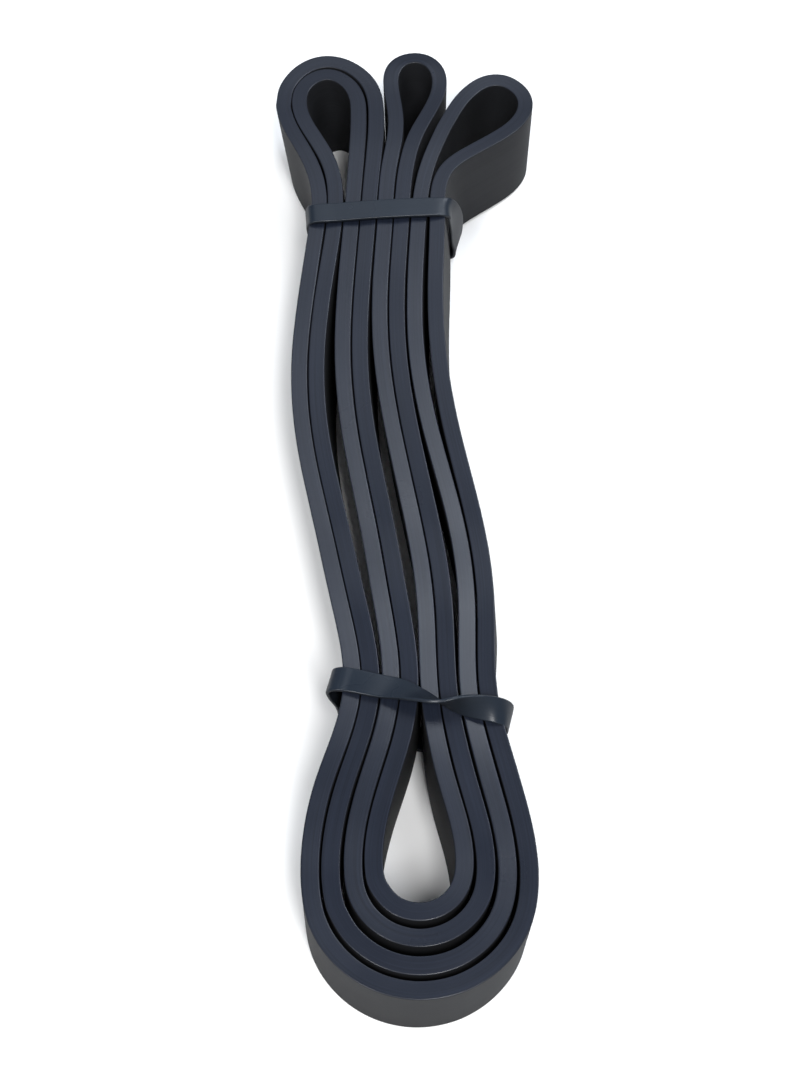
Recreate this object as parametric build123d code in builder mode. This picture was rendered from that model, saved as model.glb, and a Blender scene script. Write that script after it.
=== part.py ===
"""Loop resistance strap: one endless flat rubber band, folded into eight strands that lie
on edge side by side and held by two thin rubber ties."""

import os
from math import cos, pi, radians, sin

from build123d import *

# The rubber strap, lying on edge.
THICKNESS = 4.0
WIDTH = 26.5

# The ties: flat rubber rings round the bundle. Their bottom runs carry the strap.
TIE_THICKNESS = 0.9
TIE_WIDTH = 5.8
TIE_GAP = 0.1

# Layout, seen from above: +Y runs from the nested turns to the three loops, and +X to the
# right. Strands are numbered 1 to 8 from left to right.
FAR_NECK_Y = 74
NEAR_NECK_Y = -62

# The line between strands 4 and 5, an S from the far neck down to the near neck.
SPINE = [
    (-6.1, FAR_NECK_Y),
    (-7.4, 51.5),
    (-7.4, 29),
    (-4.7, 6),
    (-0.5, -16.5),
    (2.7, -39),
    (3.4, NEAR_NECK_Y),
]

# Each gap between two neighbouring strands: at the necks, how much more it opens between
# them, where it is widest, and how far from there it closes again.
GAPS = [
    (0.25, 0.0, 0, 62),
    (0.35, 2.7, 5, 77),
    (0.30, 0.0, 0, 62),
    (0.35, 2.2, -8, 72),
    (0.30, 0.0, 0, 62),
    (0.50, 1.3, -19, 43),
    (0.40, 1.0, 33, 62),
]

# The four nested turns round the near eye, outermost first: left shoulder, left side, level
# of the sides, lowest point, right side and right shoulder. The lowest points are in line.
NEST_X = 3.0
SHOULDER_Y = -81
NEST = [
    (-17.5, -20.4, -104, -127.3, 26.4, 22.9),
    (-12.8, -16.0, -103, -122.2, 21.8, 18.2),
    (-8.0, -11.2, -102, -116.3, 17.2, 13.4),
    (-3.4, -6.8, -101, -110.8, 12.6, 8.8),
]
NEST_STEPS = 4

# The loops at the far end, from one strand round to the other.
LEFT_OUTER_LOOP = [
    (-7.7, 87.5),
    (-7.1, 106),
    (-9.9, 118.5),
    (-19.4, 124.4),
    (-28.4, 119),
    (-31.2, 109),
    (-28, 98),
    (-23.5, 88.6),
]
LEFT_INNER_LOOP = [
    (-18.7, 88.6),
    (-23.7, 99),
    (-27, 109),
    (-25.2, 116.4),
    (-19.6, 119.8),
    (-13.8, 116),
    (-11.6, 106),
    (-12, 87.5),
]
MIDDLE_LOOP = [
    (1.0, 88.6),
    (3, 99),
    (7.2, 109),
    (9.5, 119.5),
    (7.4, 124.9),
    (3, 126.9),
    (-1.4, 124.9),
    (-3.4, 119.5),
    (-2.8, 112),
    (-2.1, 102),
    (-3.4, 88.6),
]
RIGHT_LOOP = [
    (12.2, 88.6),
    (17, 93),
    (24.7, 98.5),
    (31, 105),
    (32.3, 113),
    (25.2, 119),
    (17.8, 115),
    (12.7, 106.6),
    (6.5, 88.6),
]

# The ties: where each crosses the spine, its turn from square across the layout in
# degrees, and how far its left and right sides stand off the bundle.
FAR_TIE = (SPINE[0], 2.7, 2.0, 3.0)
NEAR_TIE = (SPINE[-1], -11.5, 3.2, 3.8)
TIE_CORNER = 2.4

# Each rim of the strap's outline is a chain of equal curves, each through this many steps.
RIM_CURVES = 64
RIM_STEPS = 8


def gap(number, y):
    """The gap between strands number and number + 1 at the station y."""
    at_neck, opening, middle, reach = GAPS[number - 1]
    offset = min(abs(y - middle) / reach, 1)
    return at_neck + opening * cos(offset * pi / 2) ** 2


def strand_x(strand, spine_x, y):
    """Where a strand's centreline crosses the station y."""
    if strand <= 4:
        between = range(strand, 4)
        side = -1
    else:
        between = range(5, strand)
        side = 1
    distance = (THICKNESS + gap(4, y)) / 2 + sum(THICKNESS + gap(k, y) for k in between)
    return spine_x + side * distance


def bundle_side(strand, neck):
    """The outer face of strand 1 or 8 at a neck."""
    x, y = neck
    side = -1 if strand == 1 else 1
    return strand_x(strand, x, y) + side * THICKNESS / 2


def strand_down(strand):
    """A strand's points between the two necks, from far to near."""
    return [(strand_x(strand, x, y), y) for x, y in SPINE]


def strand_up(strand):
    return strand_down(strand)[::-1]


def nest_turn(number):
    """Turn 1 to 4 round the near eye, from left to right, with two quarter ellipses below."""
    left_shoulder, left, level, low, right, right_shoulder = NEST[number - 1]
    points = [(left_shoulder, SHOULDER_Y)]
    for step in range(2 * NEST_STEPS + 1):
        angle = pi * step / (2 * NEST_STEPS)
        reach = NEST_X - left if step < NEST_STEPS else right - NEST_X
        points.append((NEST_X - reach * cos(angle), level - (level - low) * sin(angle)))
    points.append((right_shoulder, SHOULDER_Y))
    return points


# The whole endless route, strand by strand.
ROUTE = (
    strand_down(1) + nest_turn(1) + strand_up(8) + RIGHT_LOOP
    + strand_down(7) + nest_turn(2)[::-1] + strand_up(2) + LEFT_INNER_LOOP
    + strand_down(3) + nest_turn(3) + strand_up(6) + MIDDLE_LOOP
    + strand_down(5) + nest_turn(4)[::-1] + strand_up(4) + LEFT_OUTER_LOOP
)


# The strap. Its outline lies half a thickness to each side of the route.
route = Spline(*ROUTE, periodic=True)


def rim_point(side, along):
    """A point of the outline, on the left (1) or the right (-1) of the route."""
    direction = route % along
    across = Vector(-direction.Y, direction.X)
    return (route @ along) + across * (side * THICKNESS / 2)


def rim(side):
    """One whole rim of the outline."""
    curves = []
    for number in range(RIM_CURVES):
        steps = [(number + step / RIM_STEPS) / RIM_CURVES for step in range(RIM_STEPS + 1)]
        points = [rim_point(side, along) for along in steps]
        curves.append(Spline(*points, tangents=(route % steps[0], route % steps[-1])))
    return Wire(curves)


# The layout's origin goes under the middle of the strap's box.
outline = Face(rim(-1), [rim(1)])
middle = outline.bounding_box().center()
floor = Plane((-middle.X, -middle.Y, 0))

with BuildPart() as loop_strap:
    lower_edge = floor.offset(TIE_THICKNESS + TIE_GAP).from_local_coords(outline)
    extrude(lower_edge, amount=WIDTH, dir=(0, 0, 1), clean=False)


def tie(neck, turn, left_slack, right_slack):
    """A flat ring round the bundle, which it clears on both sides."""
    x, y = neck
    left = bundle_side(1, neck) - x - left_slack - TIE_THICKNESS
    right = bundle_side(8, neck) - x + right_slack + TIE_THICKNESS
    height = WIDTH + 2 * (TIE_THICKNESS + TIE_GAP)
    angle = radians(turn)
    along = (cos(angle), sin(angle), 0)
    through = (sin(angle), -cos(angle), 0)
    with BuildPart() as ring:
        with BuildSketch(Plane(floor.from_local_coords(Vector(x, y, 0)), x_dir=along, z_dir=through)):
            with BuildLine():
                corners = [(left, 0), (right, 0), (right, height), (left, height)]
                FilletPolyline(*corners, radius=TIE_CORNER, close=True)
            make_face()
            offset(amount=-TIE_THICKNESS, mode=Mode.SUBTRACT)
        extrude(amount=TIE_WIDTH / 2, both=True)
    return ring


far_tie = tie(*FAR_TIE)
near_tie = tie(*NEAR_TIE)

os.makedirs("parts", exist_ok=True)
loop_strap.part.label = "loop_strap"
export_step(loop_strap.part, "parts/loop_strap.step")
far_tie.part.label = "far_tie"
export_step(far_tie.part, "parts/far_tie.step")
near_tie.part.label = "near_tie"
export_step(near_tie.part, "parts/near_tie.step")
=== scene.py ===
"""Folded loop strap of charcoal rubber with its two rubber ties, on a pale floor."""

import math

import bmesh
import bpy
import numpy as np
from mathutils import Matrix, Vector


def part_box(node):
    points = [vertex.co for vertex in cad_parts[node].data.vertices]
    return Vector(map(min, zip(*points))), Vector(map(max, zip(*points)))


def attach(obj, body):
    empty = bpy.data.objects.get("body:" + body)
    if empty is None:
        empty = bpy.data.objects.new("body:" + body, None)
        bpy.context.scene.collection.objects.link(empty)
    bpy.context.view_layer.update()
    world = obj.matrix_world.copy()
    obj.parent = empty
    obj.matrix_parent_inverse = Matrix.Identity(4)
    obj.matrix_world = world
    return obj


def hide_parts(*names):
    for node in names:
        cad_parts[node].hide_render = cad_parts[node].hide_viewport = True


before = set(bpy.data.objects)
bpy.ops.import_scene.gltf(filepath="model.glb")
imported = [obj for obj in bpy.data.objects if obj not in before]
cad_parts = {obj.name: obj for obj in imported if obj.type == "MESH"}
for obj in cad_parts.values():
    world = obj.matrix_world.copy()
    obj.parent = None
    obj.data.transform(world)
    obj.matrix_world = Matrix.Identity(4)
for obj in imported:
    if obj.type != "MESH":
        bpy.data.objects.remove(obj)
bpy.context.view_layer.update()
MM = 0.001
SAME_PLACE = 0.001 * MM

STRAP_LOW, STRAP_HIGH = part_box("loop_strap")
STRAP_WIDTH = STRAP_HIGH.z - STRAP_LOW.z
STRAP_THICKNESS = 4.0 * MM
FAR_TIE_LOW, FAR_TIE_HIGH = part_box("far_tie")
NEAR_TIE_LOW, NEAR_TIE_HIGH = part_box("near_tie")
FAR_TIE_Y = (FAR_TIE_LOW.y + FAR_TIE_HIGH.y) / 2
NEAR_TIE_Y = (NEAR_TIE_LOW.y + NEAR_TIE_HIGH.y) / 2


# ---------------------------------------------------------------- the strap's route

# Steps along the outlines, the first centreline and the final one, and how many steps it is
# smoothed over.
RIM_STEP = 0.4 * MM
DRAFT_STEP = 0.5 * MM
ROUTE_STEP = 1.0 * MM
ROUTE_BLUR = 2

# Strand 1 is the one furthest left within this distance of the middle.
MIDDLE_REACH = 30 * MM

# How many points are measured at a time, to save memory.
BATCH = 500


def rim_loops(node):
    """The closed outlines of a CAD node's upper face, as points seen from above, shortest first."""
    mesh = bmesh.new()
    mesh.from_mesh(node.data)
    bmesh.ops.remove_doubles(mesh, verts=mesh.verts, dist=SAME_PLACE)
    top = max(v.co.z for v in mesh.verts)
    upper = {v for v in mesh.verts if abs(v.co.z - top) < SAME_PLACE}
    linked = {}
    for edge in mesh.edges:
        flat = sum(all(v in upper for v in face.verts) for face in edge.link_faces)
        if flat == 1 and all(v in upper for v in edge.verts):
            a, b = edge.verts
            linked.setdefault(a, []).append(b)
            linked.setdefault(b, []).append(a)
    loops = []
    while linked:
        start = next(iter(linked))
        loop = [start]
        here, after = start, linked[start][0]
        while after is not start:
            loop.append(after)
            choices = linked[after]
            here, after = after, choices[0] if choices[1] is here else choices[1]
        for vert in loop:
            del linked[vert]
        loops.append(np.array([(v.co.x, v.co.y) for v in loop]))
    mesh.free()
    return sorted(loops, key=perimeter)


def perimeter(loop):
    """The length round a closed outline."""
    return np.linalg.norm(loop - np.roll(loop, 1, 0), axis=1).sum()


def nearest_on(points, loop):
    """For each point, the nearest point of a closed outline."""
    nearest = np.zeros_like(points)
    for start in range(0, len(points), BATCH):
        some = points[start:start + BATCH]
        gaps = ((some[:, None, :] - loop[None, :, :]) ** 2).sum(2)
        index = gaps.argmin(1)
        best = np.full(len(some), np.inf)
        for shift in (-1, 0):
            a = loop[(index + shift) % len(loop)]
            b = loop[(index + shift + 1) % len(loop)]
            share = (((some - a) * (b - a)).sum(1) / ((b - a) ** 2).sum(1)).clip(0, 1)
            foot = a + (b - a) * share[:, None]
            gap = np.linalg.norm(some - foot, axis=1)
            closer = gap < best
            nearest[start:start + BATCH][closer] = foot[closer]
            best[closer] = gap[closer]
    return nearest


def even_loop(loop, step):
    """A closed line resampled at even steps."""
    closed = np.vstack([loop, loop[:1]])
    along = np.concatenate([[0], np.cumsum(np.linalg.norm(np.diff(closed, axis=0), axis=1))])
    count = int(round(along[-1] / step))
    places = np.arange(count) * along[-1] / count
    return np.stack([np.interp(places, along, closed[:, k]) for k in range(loop.shape[1])], 1)


def soften_loop(values, reach):
    """A closed row of values, each blended with its neighbours up to three reaches away."""
    offsets = np.arange(-3 * reach, 3 * reach + 1)
    weights = np.exp(-0.5 * (offsets / reach) ** 2)
    weights /= weights.sum()
    return sum(w * np.roll(values, -int(o), 0) for w, o in zip(weights, offsets))


def sideways(line):
    """Unit normals to the left of a closed line."""
    along = np.roll(line, -1, 0) - np.roll(line, 1, 0)
    along /= np.linalg.norm(along, axis=1)[:, None]
    return np.stack([-along[:, 1], along[:, 0]], 1)


def strap_route():
    """The strap's centreline from the CAD outline, running nearwards along the first strand."""
    inner, outer = [even_loop(rim, RIM_STEP) for rim in rim_loops(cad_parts["loop_strap"])]
    line = even_loop((outer + nearest_on(outer, inner)) / 2, DRAFT_STEP)
    line = even_loop(soften_loop(line, ROUTE_BLUR), ROUTE_STEP)
    middle = abs(line[:, 1]) < MIDDLE_REACH
    first = np.where(middle, line[:, 0], np.inf).argmin()
    if line[(first + 1) % len(line), 1] > line[first, 1]:
        line = line[::-1]
        first = len(line) - 1 - first
    return np.roll(line, -first, 0)


# ---------------------------------------------------------------- how the rubber leans


def ease(value):
    """0 below 0, 1 above 1, and a smooth rise between."""
    value = np.clip(value, 0, 1)
    return value * value * (3 - 2 * value)


def ramp(place, start, end):
    """A smooth rise from 0 at the place start to 1 at the place end."""
    return ease((place - start) / (end - start))


# Where the parts of the strap pass into one another, along Y; the left loop's is across, in X.
NEST_END = (-85 * MM, -65 * MM)
BODY_START = (-75 * MM, -30 * MM)
LOOPS_START = (75 * MM, 100 * MM)
LEFT_LOOP_END = (-28.5 * MM, 5.5 * MM)

# How far the upper edge stands from over the lower edge, in X, or in X and Y.
NEST_LEAN = 0.4 * MM
BODY_LEAN = -2.1 * MM
LEFT_LOOP_FLARE = (-2.8 * MM, 2.7 * MM)


def lean(x, y):
    """The upper edge's lean at a place, in X and in Y, and how far up its width the band pivots."""
    nest = 1 - ramp(y, *NEST_END)
    body = ramp(y, *BODY_START)
    far = ramp(y, *LOOPS_START)
    left = 1 - ramp(x, *LEFT_LOOP_END)
    lean_x = NEST_LEAN * nest + BODY_LEAN * body * (1 - far) + LEFT_LOOP_FLARE[0] * far * left
    lean_y = LEFT_LOOP_FLARE[1] * far * left
    pivot = 0.5 + 0.5 * nest
    return lean_x, lean_y, pivot


# The middle loop's own stretch of floor: its left side, its right side at the loop's foot and how
# fast that side opens, and where along Y the tuck sets in.
MIDDLE_LOOP_LEFT = -5.9 * MM
MIDDLE_LOOP_RIGHT = 3.1 * MM
MIDDLE_LOOP_FOOT = 88.8 * MM
MIDDLE_LOOP_OPENING = 0.35
MIDDLE_TUCK = 4.5 * MM
TUCK_START = (86 * MM, 110 * MM)


def middle_tuck(x, y):
    """How much nearer the middle loop's foot stands than its upper edge, at a centreline point."""
    right = MIDDLE_LOOP_RIGHT + MIDDLE_LOOP_OPENING * (y - MIDDLE_LOOP_FOOT)
    if MIDDLE_LOOP_LEFT < x < right:
        return MIDDLE_TUCK * ramp(y, *TUCK_START)
    return 0.0


# How deep the strap sinks away from the ties, how far nearwards and farwards of each tie it stays
# lifted, and the distance in which it comes down.
FLOOR_GAP = 0.05 * MM
SETTLE = STRAP_LOW.z - FLOOR_GAP
NEAR_TIE_HOLD = (11 * MM, 20 * MM)
FAR_TIE_HOLD = (12 * MM, 18 * MM)
SETTLE_SPAN = 26 * MM


def beyond_tie(y, tie_y, hold):
    """0 where the tie at tie_y lifts the strap, and 1 where the strap is down again."""
    nearward, farward = hold
    farther = ease((y - tie_y - farward) / SETTLE_SPAN)
    nearer = ease((tie_y - nearward - y) / SETTLE_SPAN)
    return np.maximum(farther, nearer)


def settle(y):
    """How far the strap sinks towards the floor away from the ties that carry it."""
    return SETTLE * beyond_tie(y, NEAR_TIE_Y, NEAR_TIE_HOLD) * beyond_tie(y, FAR_TIE_Y, FAR_TIE_HOLD)


# ---------------------------------------------------------------- meshes


def piece(name, verts, faces, uvs, material):
    """A smooth-shaded mesh object. uvs has a row for each corner of each face."""
    data = bpy.data.meshes.new(name)
    data.from_pydata([tuple(v) for v in verts], [], faces)
    layer = data.uv_layers.new(name="route")
    layer.data.foreach_set("uv", np.asarray(uvs, np.float32).ravel())
    data.materials.append(material)
    data.polygons.foreach_set("use_smooth", np.ones(len(faces), bool))
    data.update()
    made = bpy.data.objects.new(name, data)
    bpy.context.scene.collection.objects.link(made)
    return made


def skin(name, rings, along, around, material, slip=0):
    """Joins closed rings of points into a closed tube. slip turns the last join by some points."""
    count, size = len(rings), len(rings[0])
    verts = np.concatenate(rings)
    faces, uvs = [], []
    for i in range(count):
        after = (i + 1) % count
        turn = slip if after == 0 else 0
        for k in range(size):
            right = (k + 1) % size
            faces.append((
                i * size + k,
                i * size + right,
                after * size + (right + turn) % size,
                after * size + (k + turn) % size,
            ))
            uvs += [
                (along[i], around[k]),
                (along[i], around[k + 1]),
                (along[i + 1], around[k + 1]),
                (along[i + 1], around[k]),
            ]
    return piece(name, verts, faces, uvs, material)


# How far along a flat its first point stands, as a share of the flat.
FLAT_START = 0.02


def rounded_section(wide, high, radius, corner_steps, wide_steps, high_steps):
    """A rounded rectangle about the origin, anticlockwise from its lower side's right end.

    Each flat has points close to its ends, which keep its shading flat up to the corners."""
    points = []
    corners = [(1, -1, -90), (1, 1, 0), (-1, 1, 90), (-1, -1, 180)]
    for number, (side_x, side_y, start) in enumerate(corners):
        centre_x = side_x * (wide / 2 - radius)
        centre_y = side_y * (high / 2 - radius)
        for step in range(corner_steps + 1):
            angle = math.radians(start + 90 * step / corner_steps)
            points.append((centre_x + radius * math.cos(angle), centre_y + radius * math.sin(angle)))
        next_x, next_y, next_start = corners[(number + 1) % 4]
        angle = math.radians(next_start)
        target = (
            next_x * (wide / 2 - radius) + radius * math.cos(angle),
            next_y * (high / 2 - radius) + radius * math.sin(angle),
        )
        steps = high_steps if number % 2 == 0 else wide_steps
        x, y = points[-1]
        for share in np.linspace(FLAT_START, 1 - FLAT_START, steps):
            points.append((x + (target[0] - x) * share, y + (target[1] - y) * share))
    return np.array(points)


def lengths_round(section):
    """Distance round a closed section up to each point, with the whole way last."""
    closed = np.vstack([section, section[:1]])
    return np.concatenate([[0], np.cumsum(np.linalg.norm(np.diff(closed, axis=0), axis=1))])


EDGE_RADIUS = 0.24 * MM
CORNER_STEPS = 4
ACROSS_STEPS = 4
UPRIGHT_STEPS = 10

# The slope of the upper edge's cut. It loses a share in the nested turns and another in the far
# part, and the change is between two places along Y.
EDGE_CUT = math.tan(math.radians(5.5))
NEST_CUT_LOSS = 0.4
NEST_CUT_END = (-85 * MM, -55 * MM)
FAR_CUT_LOSS = 0.5
FAR_CUT_START = (10 * MM, 60 * MM)


def edge_cut(y):
    """The upper edge's slope across the band: steepest from the near tie to the middle."""
    nest = 1 - ramp(y, *NEST_CUT_END)
    far = ramp(y, *FAR_CUT_START)
    return EDGE_CUT * (1 - NEST_CUT_LOSS * nest - FAR_CUT_LOSS * far)


def build_strap(material):
    """The strap: one closed band swept along its route, its upper edge cut slightly off square."""
    line = strap_route()
    normal = sideways(line)
    section = rounded_section(
        STRAP_THICKNESS, STRAP_WIDTH, EDGE_RADIUS, CORNER_STEPS, ACROSS_STEPS, UPRIGHT_STEPS
    )
    around = lengths_round(section)
    along = np.arange(len(line) + 1) * ROUTE_STEP

    # How far up the band each point of the section is, from 0 to 1.
    share = section[:, 1] / STRAP_WIDTH + 0.5
    rings = []
    for centre, across in zip(line, normal):
        plan = centre + section[:, :1] * across
        lean_x, lean_y, pivot = lean(plan[:, 0], plan[:, 1])
        tuck = middle_tuck(*centre)
        slope = edge_cut(centre[1]) * section[:, 0] + tuck / STRAP_WIDTH * (plan[:, 1] - centre[1])
        ring = np.stack([
            plan[:, 0] + lean_x * (share - pivot),
            plan[:, 1] + lean_y * (share - pivot) + tuck * (share - 1),
            STRAP_LOW.z + share * (STRAP_WIDTH - slope) - settle(plan[:, 1]),
        ], 1)
        rings.append(ring)
    return skin("strap_rubber_band", rings, along, around, material)


# ---------------------------------------------------------------- the ties

TIE_WIDTH = 5.8 * MM
TIE_THICKNESS = 0.9 * MM
TIE_EDGE_RADIUS = 0.28 * MM
TIE_CORNER_STEPS = 3
TIE_WIDTH_STEPS = 8
TIE_THICKNESS_STEPS = 2
TIE_ROUTE_STEPS = 14

# A tie's slant is taken from its first points.
SLANT_POINTS = 5

# Each tie, round from the left end of its top run: X, Y, height and twist, in millimetres and in
# degrees.
FAR_TIE_ROUTE = [
    (-24.6, 71.9, 28.3, 0),
    (-18.0, 72.4, 28.5, 0),
    (-8.0, 73.2, 28.75, 0),
    (2.0, 73.9, 28.6, 0),
    (8.2, 74.4, 28.2, 0),
    (10.4, 74.7, 27.5, -4),
    (11.5, 75.4, 25.4, -22),
    (12.8, 77.4, 19.0, -36),
    (13.4, 79.4, 10.0, -34),
    (13.6, 80.9, 4.2, -18),
    (12.4, 81.4, 1.1, 0),
    (10.4, 81.5, 0.5, 0),
    (8.0, 81.4, 0.5, 0),
    (-8.0, 80.0, 0.5, 0),
    (-19.0, 78.7, 0.5, 0),
    (-21.8, 78.3, 0.5, 0),
    (-23.6, 77.8, 1.2, 0),
    (-24.5, 77.1, 4.2, 0),
    (-25.2, 75.2, 13.0, 0),
    (-25.8, 72.8, 22.5, 0),
    (-25.7, 72.1, 26.6, 0),
]
NEAR_TIE_ROUTE = [
    (-15.6, -58.1, 28.3, 0),
    (-12.6, -58.5, 28.35, 0),
    (-6.3, -60.0, 28.7, 6),
    (-1.6, -61.1, 29.4, 20),
    (2.4, -62.7, 30.0, 42),
    (6.5, -64.4, 30.6, 66),
    (11.8, -65.2, 30.5, 112),
    (17.0, -65.7, 30.0, 143),
    (20.2, -66.0, 28.9, 162),
    (22.1, -66.2, 27.0, 176),
    (22.6, -66.2, 24.0, 180),
    (21.9, -66.1, 18.0, 180),
    (21.6, -66.0, 10.0, 180),
    (21.5, -65.9, 3.8, 180),
    (20.6, -65.6, 1.2, 180),
    (18.8, -65.1, 0.5, 180),
    (16.0, -64.4, 0.5, 180),
    (2.0, -61.7, 0.5, 180),
    (-10.0, -59.4, 0.5, 180),
    (-12.6, -58.9, 0.5, 180),
    (-14.2, -58.6, 1.2, 180),
    (-15.0, -58.3, 3.8, 180),
    (-15.0, -58.2, 11.0, 180),
    (-15.5, -58.1, 17.5, 180),
    (-17.1, -58.0, 23.5, 180),
    (-17.3, -58.0, 27.0, 180),
]


def closed_curve(points, steps, turn):
    """A smooth closed line through the points; the last column grows by turn each time round."""
    points = np.array(points, float)
    lift = np.zeros(points.shape[1])
    lift[-1] = turn
    before = np.roll(points, 1, 0)
    before[0] -= lift
    after = np.roll(points, -1, 0)
    after[-1] += lift
    beyond = np.roll(points, -2, 0)
    beyond[-2:] += lift
    rows = []
    for p0, p1, p2, p3 in zip(before, points, after, beyond):
        knots = [0.0]
        for a, b in ((p0, p1), (p1, p2), (p2, p3)):
            knots.append(knots[-1] + math.sqrt(np.linalg.norm((b - a)[:3])))
        t0, t1, t2, t3 = knots
        for step in range(steps):
            t = t1 + (t2 - t1) * step / steps
            a1 = ((t1 - t) * p0 + (t - t0) * p1) / (t1 - t0)
            a2 = ((t2 - t) * p1 + (t - t1) * p2) / (t2 - t1)
            a3 = ((t3 - t) * p2 + (t - t2) * p3) / (t3 - t2)
            b1 = ((t2 - t) * a1 + (t - t0) * a2) / (t2 - t0)
            b2 = ((t3 - t) * a2 + (t - t1) * a3) / (t3 - t1)
            rows.append(((t2 - t) * b1 + (t - t1) * b2) / (t2 - t1))
    return np.array(rows)


def build_tie(name, route, turn, material):
    """A flat rubber ring that follows its route, turning about it by the twist."""
    rows = closed_curve(route, TIE_ROUTE_STEPS, turn)
    line = rows[:, :3] * MM
    twist = np.radians(rows[:, 3])
    heading = np.roll(line, -1, 0) - np.roll(line, 1, 0)
    heading /= np.linalg.norm(heading, axis=1)[:, None]
    first, last = route[0], route[SLANT_POINTS - 1]
    skew = math.atan2(last[1] - first[1], last[0] - first[0])
    bundle = np.array([-math.sin(skew), math.cos(skew), 0])
    outward = np.cross(heading, bundle)
    outward /= np.linalg.norm(outward, axis=1)[:, None]
    farward = np.cross(outward, heading)
    section = rounded_section(
        TIE_WIDTH, TIE_THICKNESS, TIE_EDGE_RADIUS, TIE_CORNER_STEPS, TIE_WIDTH_STEPS, TIE_THICKNESS_STEPS
    )
    around = lengths_round(section)
    gaps = np.linalg.norm(line - np.roll(line, -1, 0), axis=1)
    along = np.concatenate([[0], np.cumsum(gaps)])
    rings = []
    for centre, out, far, angle in zip(line, outward, farward, twist):
        wide = math.cos(angle) * far - math.sin(angle) * out
        thick = math.cos(angle) * out + math.sin(angle) * far
        rings.append(centre + section[:, :1] * wide + section[:, 1:] * thick)
    slip = len(section) // 2 if turn else 0
    return skin(name, rings, along, around, material, slip)


# ---------------------------------------------------------------- materials

# A surface is a face where its normal's Z is below this range, and an upper edge above the range. Faces
# take a darker colour than upper edges: painted shade.
UPPER_RANGE = (0.3, 0.9)
RUBBER_SPECULAR = 0.3

# Each noise's scale and detail. The lines are stretched along the band and then across it.
LINES = (1.0, 3.0, (18, 3000, 1))
BLOOM = (45.0, 4.0)
GRAIN = (5200.0, 2.0)

# The darkest and lightest bloom, as shares of a colour, and the roughness that bloom adds.
DARK_SHARE = 0.86
LIGHT_SHARE = 1.16
WEAR = 0.16

# Each bump's strength and distance.
GRAIN_BUMP = (0.08, 0.03 * MM)
LINES_BUMP = (0.16, 0.06 * MM)

FLOOR_ROUGHNESS = 0.9
FLOOR_MOTTLE_SCALE = 6.0
FLOOR_DARK = (0.90, 0.90, 0.90)
FLOOR_LIGHT = (0.93, 0.93, 0.93)


def new_material(name):
    """A material with its tree and its own shader."""
    material = bpy.data.materials.new(name)
    material.use_nodes = True
    return material, material.node_tree, material.node_tree.nodes["Principled BSDF"]


def noise(tree, source, scale, detail, stretch=(1, 1, 1)):
    """Noise over the source's coordinates, which are first scaled by stretch."""
    sized = tree.nodes.new("ShaderNodeMapping")
    sized.inputs["Scale"].default_value = stretch
    tree.links.new(source, sized.inputs["Vector"])
    made = tree.nodes.new("ShaderNodeTexNoise")
    made.inputs["Scale"].default_value = scale
    made.inputs["Detail"].default_value = detail
    tree.links.new(sized.outputs["Vector"], made.inputs["Vector"])
    return made.outputs["Fac"]


def colour_mix(tree, factor, first, second):
    """A mix of two colours, of which each is a socket or three numbers."""
    made = tree.nodes.new("ShaderNodeMix")
    made.data_type = "RGBA"
    tree.links.new(factor, made.inputs["Factor"])
    for socket, colour in (("A", first), ("B", second)):
        if isinstance(colour, bpy.types.NodeSocket):
            tree.links.new(colour, made.inputs[socket])
        else:
            made.inputs[socket].default_value = (*colour, 1)
    return made.outputs["Result"]


def map_range(tree, value, from_range, to_range):
    """The value, carried from one range to another."""
    made = tree.nodes.new("ShaderNodeMapRange")
    made.inputs["From Min"].default_value, made.inputs["From Max"].default_value = from_range
    made.inputs["To Min"].default_value, made.inputs["To Max"].default_value = to_range
    tree.links.new(value, made.inputs["Value"])
    return made.outputs["Result"]


def height_of(tree, vector):
    """The Z part of a vector."""
    made = tree.nodes.new("ShaderNodeSeparateXYZ")
    tree.links.new(vector, made.inputs["Vector"])
    return made.outputs["Z"]


def bump(tree, height, strength, distance):
    """A bump node of a strength and a distance over a height."""
    made = tree.nodes.new("ShaderNodeBump")
    made.inputs["Strength"].default_value = strength
    made.inputs["Distance"].default_value = distance
    tree.links.new(height, made.inputs["Height"])
    return made


def shade(colour, share):
    """A colour at a share of its brightness."""
    return [share * part for part in colour]


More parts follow.
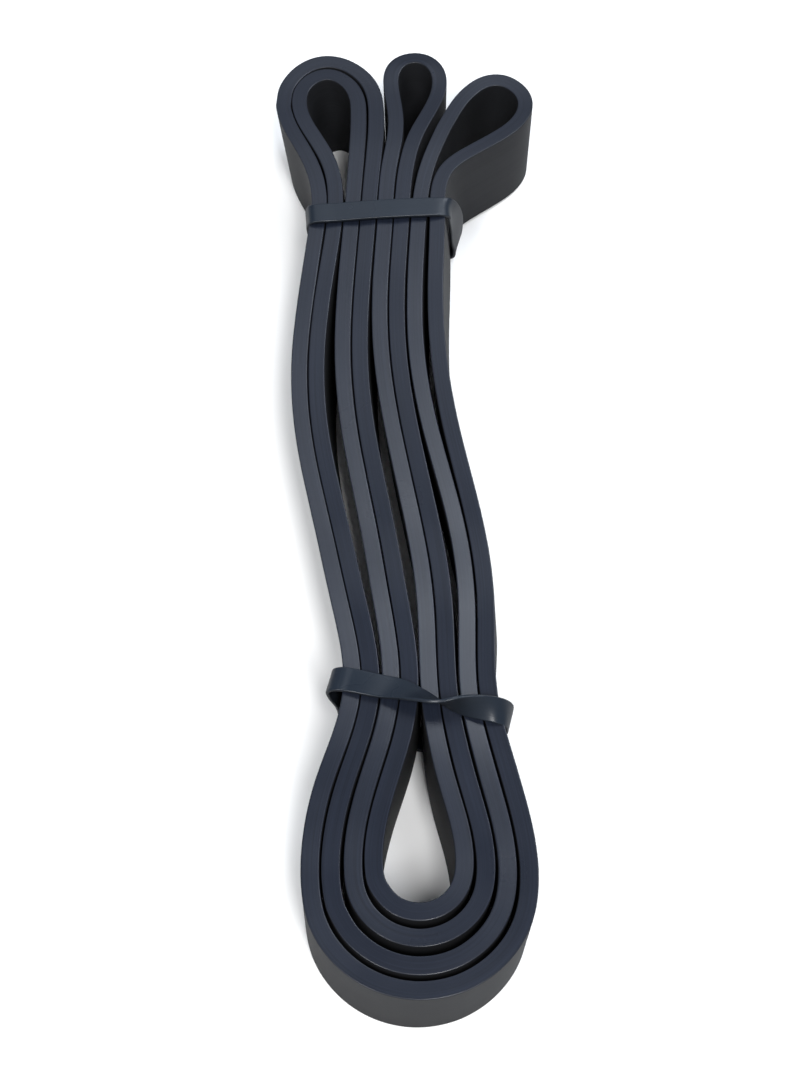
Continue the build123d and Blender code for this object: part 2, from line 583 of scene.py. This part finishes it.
def rubber(name, shaded_face_colour, edge_colour, face_roughness, edge_roughness, streak):
    """Satin rubber: uneven colour, lines along the band, and upper edges smoother than faces; the faces'
    darker colour is painted shade.
    """
    material, tree, shader = new_material(name)
    shader.inputs["Specular IOR Level"].default_value = RUBBER_SPECULAR
    route = tree.nodes.new("ShaderNodeUVMap")
    route.uv_map = "route"
    place = tree.nodes.new("ShaderNodeTexCoord")
    lines = noise(tree, route.outputs["UV"], *LINES)
    bloom = noise(tree, place.outputs["Object"], *BLOOM)
    grain = noise(tree, place.outputs["Object"], *GRAIN)
    level = height_of(tree, place.outputs["Normal"])
    upper = map_range(tree, level, UPPER_RANGE, (0, 1))

    # By the normal's Z, faces get the darker, less blue colour and upper edges the lighter one: painted
    # shade on the faces, in place of less reflection off the floor.
    dark = colour_mix(tree, upper, shade(shaded_face_colour, DARK_SHARE), shade(edge_colour, DARK_SHARE))
    light = colour_mix(tree, upper, shade(shaded_face_colour, LIGHT_SHARE), shade(edge_colour, LIGHT_SHARE))
    tone = colour_mix(tree, bloom, dark, light)
    streaked = tree.nodes.new("ShaderNodeMix")
    streaked.data_type = "RGBA"
    streaked.blend_type = "OVERLAY"
    streaked.inputs["Factor"].default_value = streak
    tree.links.new(tone, streaked.inputs["A"])
    tree.links.new(lines, streaked.inputs["B"])
    tree.links.new(streaked.outputs["Result"], shader.inputs["Base Color"])

    worn = tree.nodes.new("ShaderNodeMath")
    worn.operation = "MULTIPLY_ADD"
    worn.inputs[1].default_value = WEAR
    tree.links.new(bloom, worn.inputs[0])
    tree.links.new(map_range(tree, upper, (0, 1), (face_roughness, edge_roughness)), worn.inputs[2])
    tree.links.new(worn.outputs["Value"], shader.inputs["Roughness"])

    fine = bump(tree, grain, *GRAIN_BUMP)
    lined = bump(tree, lines, *LINES_BUMP)
    tree.links.new(fine.outputs["Normal"], lined.inputs["Normal"])
    tree.links.new(lined.outputs["Normal"], shader.inputs["Normal"])
    return material


def floor_material():
    """Pale matt paper with the faintest mottling."""
    material, tree, shader = new_material("pale_floor")
    shader.inputs["Roughness"].default_value = FLOOR_ROUGHNESS
    mottle = tree.nodes.new("ShaderNodeTexNoise")
    mottle.inputs["Scale"].default_value = FLOOR_MOTTLE_SCALE
    colour = colour_mix(tree, mottle.outputs["Fac"], FLOOR_DARK, FLOOR_LIGHT)
    tree.links.new(colour, shader.inputs["Base Color"])
    return material


# ---------------------------------------------------------------- the pieces

# The strap's side faces are painted darker than its upper edges: painted shade.
strap_material = rubber(
    "strap_rubber",
    shaded_face_colour=(0.0060, 0.0066, 0.0086),
    edge_colour=(0.0095, 0.0125, 0.0215),
    face_roughness=0.70,
    edge_roughness=0.22,
    streak=0.60,
)
strap = build_strap(strap_material)
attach(strap, "strap")
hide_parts("loop_strap")

# The ties' upright surfaces are painted darker than their upward-facing ones: painted shade.
tie_material = rubber(
    "tie_rubber",
    shaded_face_colour=(0.0060, 0.0085, 0.0130),
    edge_colour=(0.0080, 0.0130, 0.0215),
    face_roughness=0.50,
    edge_roughness=0.20,
    streak=0.15,
)
far_tie = build_tie("far_rubber_tie", FAR_TIE_ROUTE, 0, tie_material)
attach(far_tie, "far_tie")
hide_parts("far_tie")
near_tie = build_tie("near_rubber_tie", NEAR_TIE_ROUTE, 180, tie_material)
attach(near_tie, "near_tie")
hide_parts("near_tie")


# ---------------------------------------------------------------- floor, light and camera

FLOOR_HALF = 4.0
COOL_WHITE = (0.86, 0.92, 1.0)
WHITE = (1.0, 1.0, 1.0)

# Name, place, size, power and colour. The near lights stand off the middle, to the left and the
# right, so that they don't shine down into the gaps that the camera looks along.
LIGHTS = [
    ("back_right_softbox", (0.50, 0.55, 1.08), (0.5, 0.55), 9.0, COOL_WHITE),
    ("back_softbox", (-0.10, 0.75, 1.00), (0.7, 0.4), 1.2, COOL_WHITE),
    ("near_left_softbox", (-0.46, -0.60, 1.15), (0.20, 0.5), 8, WHITE),
    ("near_right_softbox", (0.20, -0.60, 1.15), (0.20, 0.5), 12, WHITE),
]

# The world's light. Straight overhead only a share of it is left, and the change is between two
# values of the direction's Z.
WORLD_COLOUR = (0.92, 0.96, 1.0)
WORLD_STRENGTH = 0.44
OVERHEAD_RANGE = (0.70, 0.96)
OVERHEAD_SHARE = 0.3


def add_floor():
    """A wide pale floor at height 0."""
    data = bpy.data.meshes.new("floor")
    corners = [(-1, -1), (1, -1), (1, 1), (-1, 1)]
    data.from_pydata([(FLOOR_HALF * x, FLOOR_HALF * y, 0) for x, y in corners], [], [(0, 1, 2, 3)])
    data.materials.append(floor_material())
    made = bpy.data.objects.new("floor", data)
    bpy.context.scene.collection.objects.link(made)


def add_light(name, place, size, power, colour):
    """A softbox that faces the middle of the layout."""
    data = bpy.data.lights.new(name, "AREA")
    data.shape = "RECTANGLE"
    data.size, data.size_y = size
    data.energy = power
    data.color = colour
    made = bpy.data.objects.new(name, data)
    made.location = place
    made.rotation_euler = (-Vector(place)).to_track_quat("-Z", "Y").to_euler()
    bpy.context.scene.collection.objects.link(made)


def add_world():
    """Even studio light from all round, dimmer overhead."""
    world = bpy.data.worlds.new("studio")
    world.use_nodes = True
    tree = world.node_tree
    back = tree.nodes["Background"]
    back.inputs["Color"].default_value = (*WORLD_COLOUR, 1)
    place = tree.nodes.new("ShaderNodeTexCoord")
    level = height_of(tree, place.outputs["Generated"])
    strengths = (WORLD_STRENGTH, OVERHEAD_SHARE * WORLD_STRENGTH)
    tree.links.new(map_range(tree, level, OVERHEAD_RANGE, strengths), back.inputs["Strength"])
    bpy.context.scene.world = world


bpy.context.scene.view_settings.view_transform = "Standard"
add_floor()
add_world()
for light in LIGHTS:
    add_light(*light)

# The camera looks down along the bundle from over its near end.
CAMERA_SIDE = -1.86 * MM
CAMERA_BACK = -211.2 * MM
CAMERA_HEIGHT = 361.9 * MM
CAMERA_PITCH = 27.5
SENSOR = 36.0
LENS = 58.06
NEAR_CLIP = 10 * MM
camera_data = bpy.data.cameras.new("camera")
camera_data.sensor_width = SENSOR
camera_data.lens = LENS
camera_data.clip_start = NEAR_CLIP
camera = bpy.data.objects.new("camera", camera_data)
camera.location = (CAMERA_SIDE, CAMERA_BACK, STRAP_HIGH.z + CAMERA_HEIGHT)
camera.rotation_euler = (math.radians(CAMERA_PITCH), 0, 0)
bpy.context.scene.collection.objects.link(camera)
bpy.context.scene.camera = camera
